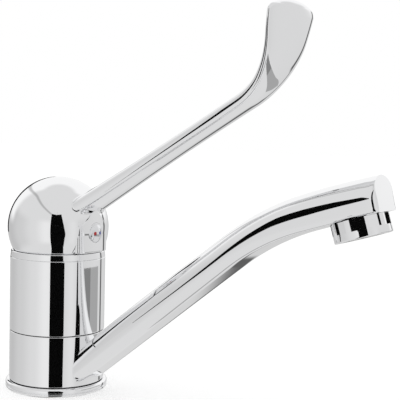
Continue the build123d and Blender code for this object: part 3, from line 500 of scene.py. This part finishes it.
def arm():
    """Spout arm: sections along the bent underside line, from inside the ring's wall to the leaning nose.

    The first loop lies on a cylinder inside the ring's wall. The last loops slide onto the nose plane and
    narrow along the nose's corner arcs, so the end face meets the sides in rounded edges.
    """
    share = np.linspace(0.0, 1.0, 130)
    x, z, angle = spout_path(share)
    tables = [blended(SPOUT_SHARES, values, share)
              for values in (SPOUT_HALVES, SPOUT_SIDES, SPOUT_CROWNS, SPOUT_CORNERS)]
    sections = np.array([spout_section(*row) for row in zip(*tables)])
    across, upward = sections[..., 0], sections[..., 1]
    px = x[:, None] - upward * np.sin(angle)[:, None]
    pz = z[:, None] + upward * np.cos(angle)[:, None]
    points = np.stack((px, across, pz), -1)
    lean, heading = radians(NOSE_LEAN), np.stack((np.cos(angle), 0 * angle, np.sin(angle)), -1)[:, None, :]
    out = np.array((cos(lean), 0, sin(lean)))
    base = np.array((NOSE_X, 0, nose_height()))
    depth = (base - points) @ out
    points = points + heading * np.minimum(depth, 0)[..., None] / (heading @ out)[..., None]
    keep = (depth > 0).any(1)
    keep[np.argmin(keep)] = True
    last = points[keep][-1]
    last = last + heading[-1] * (((base - last) @ out) / (heading[-1] @ out))[:, None]
    body = points[keep][:-1]
    body = body[(((base - body) @ out) > NOSE_CORNER + SPOUT_GAP).all(1)]
    root = np.sqrt(SPOUT_ROOT_R ** 2 - body[..., 1] ** 2)
    first = body[0] + heading[0] * ((root[0] - body[0][:, 0]) / heading[0, 0, 0])[:, None]
    loops = [first] + list(body[(body[..., 0] > root + SPOUT_GAP).all(1)])
    for turn in np.linspace(0, pi / 2, 9):
        back = NOSE_CORNER * (1 - sin(turn))
        narrow = NOSE_CORNER * (1 - cos(turn))
        side = np.clip(np.abs(last[:, 1]) / SPOUT_HALVES[-1], 0, 1) ** 10
        loop = last - heading[-1, 0] * back
        loop[:, 1] -= np.sign(last[:, 1]) * narrow * side
        loops.append(loop)
    loops += [loop + (last.mean(0) - loop) * inset_share for inset_share in (0.02, 0.3, 0.6, 0.85)]
    return closed_rows("spout_arm", np.array(loops), ARM_SHARP)


def spout_ring():
    """Ring of the spout round the sleeve, with recesses for the glide rings and a water groove."""
    bore, glide_r, water_r = SLEEVE_R + 0.06, 19.6, 18.46
    low, high, recess = 4.55, SLEEVE_TOP - 0.35, 0.65
    outline = rounded([
        (bore, low + recess), (glide_r, low + recess), (glide_r, low), (BODY_R, low, BODY_EDGE),
        (BODY_R, high, BODY_EDGE), (glide_r, high), (glide_r, high - recess), (bore, high - recess),
        (bore, WATER_HIGH), (water_r, WATER_HIGH), (water_r, WATER_LOW), (bore, WATER_LOW)])
    return spun("spout_ring", outline)


# Finishes

def math_node(tree, operation, *values):
    """Math node of numbers and sockets; returns its value."""
    node = tree.nodes.new("ShaderNodeMath")
    node.operation = operation
    for socket, value in zip(node.inputs, values):
        if hasattr(value, "is_linked"):
            tree.links.new(value, socket)
        else:
            socket.default_value = value
    return node.outputs[0]


def socket_group(name, inputs, outputs):
    """Empty shader node group with named inputs and outputs, given as (name, type, default)."""
    group = bpy.data.node_groups.new(name, "ShaderNodeTree")
    for label, kind, value in inputs:
        made = group.interface.new_socket(label, in_out="INPUT", socket_type=kind)
        if value is not None:
            made.default_value = value
    for label, kind in outputs:
        group.interface.new_socket(label, in_out="OUTPUT", socket_type=kind)
    return group, group.nodes.new("NodeGroupInput"), group.nodes.new("NodeGroupOutput")


def noise(tree, vector, scale, detail=3.0, roughness=0.5):
    """Noise texture read at a vector, in cycles per metre."""
    node = tree.nodes.new("ShaderNodeTexNoise")
    node.inputs["Scale"].default_value = scale
    node.inputs["Detail"].default_value = detail
    node.inputs["Roughness"].default_value = roughness
    tree.links.new(vector, node.inputs["Vector"])
    return node.outputs["Fac"]


def spread(tree, value, low, high, out_low, out_high):
    """Value between low and high carried to out_low and out_high, clamped."""
    node = tree.nodes.new("ShaderNodeMapRange")
    for label, number in (("From Min", low), ("From Max", high), ("To Min", out_low), ("To Max", out_high)):
        node.inputs[label].default_value = number
    tree.links.new(value, node.inputs["Value"])
    return node.outputs["Result"]


def polish_group():
    """Polish: faint wiping marks and water-spot haze that change roughness, and a plating ripple."""
    group, into, out = socket_group("polish", [
        ("Roughness", "NodeSocketFloat", 0.03), ("Haze", "NodeSocketFloat", 0.03),
        ("Ripple", "NodeSocketFloat", 0.02)], [
        ("Roughness", "NodeSocketFloat"), ("Normal", "NodeSocketVector")])
    spot = group.nodes.new("ShaderNodeTexCoord").outputs["Object"]
    haze = spread(group, noise(group, spot, 90.0, 4.0, 0.6), 0.45, 0.75, 0.0, 1.0)
    fine = spread(group, noise(group, spot, 1400.0, 2.0), 0.35, 0.7, 0.4, 1.0)
    both = math_node(group, "MULTIPLY", haze, fine)
    rough = math_node(group, "MULTIPLY_ADD", both, into.outputs["Haze"], into.outputs["Roughness"])
    group.links.new(rough, out.inputs["Roughness"])
    bump = group.nodes.new("ShaderNodeBump")
    bump.inputs["Distance"].default_value = 0.00002
    group.links.new(into.outputs["Ripple"], bump.inputs["Strength"])
    group.links.new(noise(group, spot, 55.0, 1.0), bump.inputs["Height"])
    group.links.new(bump.outputs["Normal"], out.inputs["Normal"])
    return group


def grain_group():
    """Grain: fine mottling of colour and roughness with a matching bump, for moulded and cast pieces."""
    group, into, out = socket_group("grain", [
        ("Color", "NodeSocketColor", (0.5, 0.5, 0.5, 1)), ("Shade", "NodeSocketColor", (0.4, 0.4, 0.4, 1)),
        ("Scale", "NodeSocketFloat", 900.0), ("Roughness", "NodeSocketFloat", 0.5),
        ("Spread", "NodeSocketFloat", 0.1), ("Strength", "NodeSocketFloat", 0.1)], [
        ("Color", "NodeSocketColor"), ("Roughness", "NodeSocketFloat"), ("Normal", "NodeSocketVector")])
    spot = group.nodes.new("ShaderNodeTexCoord").outputs["Object"]
    texture = group.nodes.new("ShaderNodeTexNoise")
    texture.inputs["Detail"].default_value = 4.0
    group.links.new(spot, texture.inputs["Vector"])
    group.links.new(into.outputs["Scale"], texture.inputs["Scale"])
    share = spread(group, texture.outputs["Fac"], 0.3, 0.7, 0.0, 1.0)
    mix = group.nodes.new("ShaderNodeMix")
    mix.data_type = "RGBA"
    group.links.new(share, mix.inputs["Factor"])
    group.links.new(into.outputs["Color"], mix.inputs["A"])
    group.links.new(into.outputs["Shade"], mix.inputs["B"])
    group.links.new(mix.outputs["Result"], out.inputs["Color"])
    rough = math_node(group, "MULTIPLY_ADD", share, into.outputs["Spread"], into.outputs["Roughness"])
    group.links.new(rough, out.inputs["Roughness"])
    bump = group.nodes.new("ShaderNodeBump")
    bump.inputs["Distance"].default_value = 0.0001
    group.links.new(into.outputs["Strength"], bump.inputs["Strength"])
    group.links.new(texture.outputs["Fac"], bump.inputs["Height"])
    group.links.new(bump.outputs["Normal"], out.inputs["Normal"])
    return group


POLISH, GRAIN = polish_group(), grain_group()


def new_material(name):
    """Material with a Principled shader; returns the material, its nodes' tree and the shader."""
    material = bpy.data.materials.new(name)
    material.use_nodes = True
    return material, material.node_tree, material.node_tree.nodes["Principled BSDF"]


def plated(name, color, rough=0.03, haze=0.03, ripple=0.02):
    """Plated or polished metal with the polish group's haze and ripple."""
    material, tree, shader = new_material(name)
    shader.inputs["Base Color"].default_value = (*color, 1)
    shader.inputs["Metallic"].default_value = 1.0
    node = tree.nodes.new("ShaderNodeGroup")
    node.node_tree = POLISH
    for label, value in (("Roughness", rough), ("Haze", haze), ("Ripple", ripple)):
        node.inputs[label].default_value = value
    tree.links.new(node.outputs["Roughness"], shader.inputs["Roughness"])
    tree.links.new(node.outputs["Normal"], shader.inputs["Normal"])
    return material


def moulded(name, color, shade, scale=900.0, rough=0.5, spread_by=0.1, strength=0.1, metallic=0.0, coat=0.0):
    """Moulded, sintered or machined surface with the grain group's mottling."""
    material, tree, shader = new_material(name)
    shader.inputs["Metallic"].default_value = metallic
    shader.inputs["Coat Weight"].default_value = coat
    node = tree.nodes.new("ShaderNodeGroup")
    node.node_tree = GRAIN
    for label, value in (("Color", (*color, 1)), ("Shade", (*shade, 1)), ("Scale", scale),
                         ("Roughness", rough), ("Spread", spread_by), ("Strength", strength)):
        node.inputs[label].default_value = value
    for label, socket in (("Color", "Base Color"), ("Roughness", "Roughness"), ("Normal", "Normal")):
        tree.links.new(node.outputs[label], shader.inputs[socket])
    return material


CHROME = plated("polished_chrome", (0.91, 0.912, 0.92), 0.025, 0.02, 0.02)
PLUG_CHROME = plated("plated_plug", (0.84, 0.845, 0.86), 0.06, 0.03, 0.02)
STEEL = plated("plain_steel", (0.56, 0.56, 0.55), 0.26, 0.12, 0.08)
BRASS = plated("turned_brass", (0.75, 0.55, 0.24), 0.22, 0.12, 0.08)
RUBBER = moulded("black_rubber", (0.018, 0.018, 0.019), (0.03, 0.03, 0.03), 1600.0, 0.62, 0.16, 0.25)
WHITE = moulded("white_polyacetal", (0.82, 0.82, 0.79), (0.76, 0.76, 0.74), 700.0, 0.38, 0.08, 0.05)
DARK = moulded("dark_nylon", (0.03, 0.032, 0.036), (0.045, 0.047, 0.05), 900.0, 0.42, 0.12, 0.12)
GREY = moulded("grey_nylon", (0.3, 0.31, 0.33), (0.26, 0.27, 0.29), 900.0, 0.42, 0.1, 0.1)
CERAMIC = moulded(
    "lapped_ceramic", (0.86, 0.84, 0.79), (0.81, 0.79, 0.75), 2600.0, 0.14, 0.06, 0.02, coat=0.3)
RED = moulded("red_enamel", (0.62, 0.012, 0.012), (0.5, 0.01, 0.01), 1500.0, 0.16, 0.06, 0.02, coat=0.6)
BLUE = moulded("blue_enamel", (0.012, 0.035, 0.42), (0.01, 0.03, 0.34), 1500.0, 0.16, 0.06, 0.02, coat=0.6)

SLOT_FINISH = {
    "chrome": CHROME, "brass": BRASS, "steel": STEEL, "rubber": RUBBER, "white_plastic": WHITE,
    "dark_plastic": DARK, "grey_plastic": GREY, "ceramic": CERAMIC, "plated_plastic": PLUG_CHROME,
    "red": RED, "blue": BLUE}


def finish_piece(piece, slot_name, body):
    """Gives a piece the material of its slot and the body that it rides on."""
    piece.data.materials.clear()
    piece.data.materials.append(SLOT_FINISH[slot_name])
    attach(piece, body)
    return piece


# The tap

node_slots = {entry["node"]: entry["material_slot"] for entry in frame["record"]["subparts"]}
node_bodies = {node: body for body, nodes in frame["record"]["behaviour"]["bodies"].items() for node in nodes}

for made, node in ((dome(), "elbow_handle"), (boss(), "elbow_handle"), (lever(), "elbow_handle"),
                   (button(), "index_button"), (column(), "body_casting"), (cover(), "cover_ring"),
                   (foot(), "base_flange"), (arm(), "swivel_spout"), (spout_ring(), "swivel_spout"),
                   (lever_fillet(), "elbow_handle"), (dot("red_dot", -DOT_Y), "hot_dot"),
                   (dot("blue_dot", DOT_Y), "cold_dot")):
    finish_piece(made, node_slots[node], node_bodies[node])
    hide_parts(node)

new_nodes = {
    "elbow_handle", "index_button", "hot_dot", "cold_dot", "body_casting", "cover_ring", "base_flange",
    "swivel_spout"}
for node in sorted(set(node_slots) - new_nodes):
    finish_piece(smoothed(node + "_finish", node), node_slots[node], node_bodies[node])


# Studio

BEARING = radians(55.0)
BACK = (cos(BEARING), -sin(BEARING), 0.0)
SIDE = (sin(BEARING), cos(BEARING), 0.0)
WHITE_LIGHT = (1, 1, 1, 1)


def stage_sheet(name, corners, material):
    """Flat sheet of the studio through the given corners in metres."""
    mesh = bpy.data.meshes.new(name)
    mesh.from_pydata([tuple(c) for c in corners], [], [tuple(range(len(corners)))])
    mesh.materials.append(material)
    made = linked(name, mesh)
    return made


def card(name, corners, material):
    """Card that only reflections show; it casts no shadow."""
    made = stage_sheet(name, corners, material)
    made.visible_camera = False
    made.visible_diffuse = False
    made.visible_shadow = False


def flat_material(name, color, glow=0.0, rough=1.0):
    """Matt material without gloss, glowing white by the given strength."""
    material, tree, shader = new_material(name)
    shader.inputs["Base Color"].default_value = (*color, 1)
    shader.inputs["Roughness"].default_value = rough
    shader.inputs["Specular IOR Level"].default_value = 0.0
    shader.inputs["Emission Color"].default_value = WHITE_LIGHT
    shader.inputs["Emission Strength"].default_value = glow
    return material


def floor():
    """Pale floor with the tap's soft shadow; it glows to the camera alone, and no reflection shows it."""
    half, glow = 4.0, 0.42
    material = flat_material("pale_floor", (0.9, 0.9, 0.9), rough=0.9)
    tree = material.node_tree
    seen = tree.nodes.new("ShaderNodeLightPath").outputs["Is Camera Ray"]
    strength = tree.nodes["Principled BSDF"].inputs["Emission Strength"]
    tree.links.new(math_node(tree, "MULTIPLY", seen, glow), strength)
    corners = ((-half, -half, 0), (half, -half, 0), (half, half, 0), (-half, half, 0))
    stage_sheet("floor", corners, material).visible_glossy = False


def along(tree, vector, direction):
    """Share of a vector along a fixed direction."""
    node = tree.nodes.new("ShaderNodeVectorMath")
    node.operation = "DOT_PRODUCT"
    node.inputs[1].default_value = direction
    tree.links.new(vector, node.inputs[0])
    return node.outputs["Value"]


def window(tree, value, low, high, soft):
    """1 between low and high, 0 outside, with borders soft degrees wide; low and high may be sockets."""
    rise = math_node(tree, "DIVIDE", math_node(tree, "SUBTRACT", value, low), soft)
    fall = math_node(tree, "DIVIDE", math_node(tree, "SUBTRACT", high, value), soft)
    both = math_node(tree, "MINIMUM", rise, fall)
    node = tree.nodes.new("ShaderNodeMapRange")
    node.interpolation_type = "SMOOTHSTEP"
    node.inputs["From Min"].default_value = -0.5
    node.inputs["From Max"].default_value = 0.5
    tree.links.new(both, node.inputs["Value"])
    return node.outputs["Result"]


def blend(tree, share, low, high):
    """Mix of two brightnesses."""
    step = math_node(tree, "SUBTRACT", high, low)
    return math_node(tree, "ADD", low, math_node(tree, "MULTIPLY", share, step))


def square_fall(tree, value, steepness):
    """Steepness times the square of a value above zero, and zero below it."""
    above = math_node(tree, "MAXIMUM", value, 0.0)
    return math_node(tree, "MULTIPLY", math_node(tree, "POWER", above, 2.0), steepness)


# Brightness of the painted studio round the horizon, as (bearing in degrees, brightness)
HORIZON = ((-180, 0.62), (-130, 0.56), (-90, 0.66), (-50, 0.76), (-20, 0.88), (20, 0.72), (42, 0.8),
           (60, 0.7), (110, 0.74), (150, 0.7), (180, 0.62))
OFF_LEVEL_LIGHT, ROOM_LIGHT, WHITE = 0.76, 0.7, 1.0

# Bands of the painted studio as (low, high, width of the soft borders), in degrees
LEVEL_BAND, TOP_BAND, BEHIND_BAND = (-32.0, 16.0, 14.0), (2.0, 62.0, 12.0), (118.0, 400.0, 20.0)
RIM_BAND, RIM_BEARINGS = (-0.6, 3.5, 3.0), (-158.0, -9.0, 6.0)
LINE_BAND, LINE_BEARINGS = (-1.8, 2.2, 2.0), (140.0, 176.0, 3.0)
UPRIGHT_BEARINGS, UPRIGHT_HEIGHTS = (132.5, 139.5, 2.0), (-17.0, 9.0, 3.0)

# Share and brightness of the two lines, the rim's arch and where the lever's line turns up
RIM_SHARE, RIM_LIGHT, LINE_SHARE, LINE_LIGHT = 0.55, 0.25, 0.85, 0.02
ARCH_BEARING, ARCH_TOP, ARCH_AHEAD, ARCH_BACK = -85.0, 55.0, 0.0038, 0.0075
LINE_TURN_BEARING, LINE_DEPTH = 152.0, 27.5


def horizon(tree, bearing):
    """Brightness at a bearing, read from HORIZON."""
    ramp = tree.nodes.new("ShaderNodeValToRGB")
    ramp.color_ramp.interpolation = "EASE"
    stops = ramp.color_ramp.elements
    while len(stops) > 1:
        stops.remove(stops[0])
    for i, (angle, value) in enumerate(HORIZON):
        place = (angle + 180) / 360
        stop = stops[0] if i == 0 else stops.new(place)
        stop.position = place
        stop.color = (value, value, value, 1)
    full_turn = math_node(tree, "DIVIDE", math_node(tree, "ADD", bearing, 180.0), 360.0)
    tree.links.new(full_turn, ramp.inputs["Fac"])
    return ramp.outputs["Color"]


def rim_line(tree, bearing, height):
    """Dark line on an arch that is highest at one bearing and falls with the square of the turn from it.

    It draws the dome's dark rim.
    """
    turned = math_node(tree, "SUBTRACT", bearing, ARCH_BEARING)
    arch = math_node(tree, "SUBTRACT", ARCH_TOP, square_fall(tree, turned, ARCH_AHEAD))
    turned_back = math_node(tree, "MULTIPLY", turned, -1.0)
    arch = math_node(tree, "SUBTRACT", arch, square_fall(tree, turned_back, ARCH_BACK))
    below_arch = math_node(tree, "SUBTRACT", arch, height)
    return math_node(tree, "MULTIPLY", window(tree, below_arch, *RIM_BAND),
                     window(tree, bearing, *RIM_BEARINGS))


def lever_line(tree, bearing, height):
    """Black line on the far right: level, then rising degree for degree, then an upright.

    It draws the lever's dark far edge.
    """
    rise = math_node(tree, "MAXIMUM", math_node(tree, "SUBTRACT", LINE_TURN_BEARING, bearing), 0.0)
    above = math_node(tree, "ADD", math_node(tree, "SUBTRACT", height, rise), LINE_DEPTH)
    low = math_node(tree, "MULTIPLY", window(tree, above, *LINE_BAND), window(tree, bearing, *LINE_BEARINGS))
    upright = math_node(tree, "MULTIPLY", window(tree, bearing, *UPRIGHT_BEARINGS),
                        window(tree, height, *UPRIGHT_HEIGHTS))
    return math_node(tree, "MAXIMUM", low, upright)


def world():
    """White surroundings to the camera and through glass, and a painted studio in reflections.

    The studio is a function of direction: bearing counts from the camera's side, height from the horizon.
    It has pale grey walls, white above the horizon behind the tap, a dark arch line and a black lever line.
    """
    made = bpy.data.worlds.new("studio")
    made.use_nodes = True
    tree = made.node_tree
    spot = tree.nodes.new("ShaderNodeTexCoord").outputs["Generated"]
    bearing = math_node(tree, "ARCTAN2", along(tree, spot, SIDE), along(tree, spot, BACK))
    bearing = math_node(tree, "MULTIPLY", bearing, 180 / pi)
    height = math_node(tree, "ARCSINE", along(tree, spot, (0, 0, 1)))
    height = math_node(tree, "MULTIPLY", height, 180 / pi)
    light = blend(tree, window(tree, height, *LEVEL_BAND), OFF_LEVEL_LIGHT, horizon(tree, bearing))
    turned = math_node(tree, "ABSOLUTE", bearing)
    top_wall = math_node(tree, "MULTIPLY", window(tree, height, *TOP_BAND),
                         window(tree, turned, *BEHIND_BAND))
    light = blend(tree, top_wall, light, WHITE)
    rim = math_node(tree, "MULTIPLY", rim_line(tree, bearing, height), RIM_SHARE)
    light = blend(tree, rim, light, RIM_LIGHT)
    line = math_node(tree, "MULTIPLY", lever_line(tree, bearing, height), LINE_SHARE)
    light = blend(tree, line, light, LINE_LIGHT)
    path = tree.nodes.new("ShaderNodeLightPath")
    light = blend(tree, path.outputs["Is Glossy Ray"], ROOM_LIGHT, light)
    seen = math_node(tree, "MAXIMUM", path.outputs["Is Camera Ray"], path.outputs["Is Transmission Ray"])
    light = blend(tree, seen, light, WHITE)
    ground = tree.nodes["Background"]
    ground.inputs["Color"].default_value = WHITE_LIGHT
    tree.links.new(light, ground.inputs["Strength"])
    bpy.context.scene.world = made


def camera():
    """Camera at the photograph's viewing angle; its lens is given in pixels of the photograph."""
    pitch, roll = radians(4.4), radians(1.44)
    distance, aside, level = 0.485, 0.0717, 0.1345
    lens_pixels, photo_pixels, sensor = 957.0, 400.0, 36.0
    back, right = np.array(BACK), np.array(SIDE)
    up = np.array((0.0, 0.0, 1.0))
    behind = back * cos(pitch) + up * sin(pitch)
    above = up * cos(pitch) - back * sin(pitch)
    across = right * cos(roll) + above * sin(roll)
    upward = above * cos(roll) - right * sin(roll)
    lens = bpy.data.cameras.new("view")
    lens.sensor_width, lens.lens = sensor, sensor * lens_pixels / photo_pixels
    lens.clip_start, lens.clip_end = 0.01, 20.0
    made = linked("view", lens)
    turn = Matrix((across, upward, behind)).transposed().to_4x4()
    made.matrix_world = Matrix.Translation(back * distance + right * aside + up * level) @ turn
    bpy.context.scene.camera = made


def from_axis(forward, sideways, height):
    """Point in metres: forward to the camera, sideways to the camera's right, height above the deck."""
    return tuple(np.array(BACK) * forward + np.array(SIDE) * sideways + np.array((0, 0, height)))


def camera_flag(black):
    """Large card behind the camera, as (sideways, height)."""
    outline = ((-0.095, 0.472), (0.035, 0.44), (0.161, 0.472), (0.2, 0.25), (0.235, 0.08), (0.262, -0.03),
               (0.262, -0.1), (0.25, -0.16), (0.24, -0.5), (0.31, -1.1), (-0.2, -1.1), (-0.11, -0.5))
    card("camera_flag", [from_axis(0.6, sideways, height) for sideways, height in outline], black)


def spout_flag(black):
    """Upright card beside the arm, in a plane through the column's axis, as (distance, height)."""
    bearing = radians(-50.0)
    lower = ((0.05, 0.0385), (0.073, 0.056), (0.093, 0.0795), (0.117, 0.102), (0.146, 0.102), (0.17, 0.112),
             (0.196, 0.128))
    upper = ((0.19, 0.138), (0.165, 0.152), (0.135, 0.158), (0.11, 0.154), (0.09, 0.143), (0.077, 0.0955),
             (0.065, 0.063), (0.048, 0.0405))
    corners = [(away * cos(bearing), away * sin(bearing), height) for away, height in lower + upper]
    card("spout_flag", corners, black)


def aerator_flag(black):
    """Small upright card on the camera's side, level with the nose."""
    near, far, low, high, y = 0.212, 0.245, 0.117, 0.143, -0.356
    card("aerator_flag", [(near, y, low), (far, y, low), (far, y, high), (near, y, high)], black)


def rear_flag(black):
    """Part of a ring behind the dome, which widens from its start."""
    inner_r, start_r, widening, aside, level = 0.04, 0.062, 0.05, -0.022, 0.069
    turn = np.radians(np.linspace(95, 190, 20))
    sector = [(inner_r, t) for t in turn]
    sector += [(start_r + widening * min(1.0, (t - turn[0]) / 0.6), t) for t in turn[::-1]]
    card("rear_flag", [from_axis(-0.15, aside + r * cos(t), level + r * sin(t)) for r, t in sector], black)


def grey_flags():
    """Two bent grey cards on the far side of the spout, side by side round the axis."""
    r, low, high = 0.34, -0.048, 0.015
    for name, glow, begin, end in (("deep_grey", 0.24, 8, 36), ("middle_grey", 0.4, 36, 64)):
        turn = np.radians(np.linspace(begin, end, 8))
        corners = [(r * cos(t), r * sin(t), low) for t in turn]
        corners += [(r * cos(t), r * sin(t), high) for t in turn[::-1]]
        card(name + "_flag", corners, flat_material(name, (0.0, 0.0, 0.0), glow))


def floor_shade():
    """Grey patch just over the floor, along the spout's far side: a painted shadow of the spout on the floor,
    which only reflections show.
    """
    # Painted shade: this grey sheet stands for the spout's shadow on the floor, as seen in the chrome
    near, far, inner, outer, lift = 0.06, 0.17, 0.015, 0.038, 0.0003
    card("floor_shade", [(near, inner, lift), (far, inner, lift), (far, outer, lift), (near, outer, lift)],
         flat_material("painted_floor_shadow", (0.0, 0.0, 0.0), 0.42))


def cards():
    """Black and grey cards that give the chrome its dark bands, one of them a painted shadow of the spout on
    the floor.
    """
    black = flat_material("black_card", (0.004, 0.004, 0.004))
    for flag in (camera_flag, spout_flag, aerator_flag, rear_flag):
        flag(black)
    grey_flags()
    floor_shade()


camera()
world()
floor()
cards()

bpy.context.scene.view_settings.view_transform = "Standard"
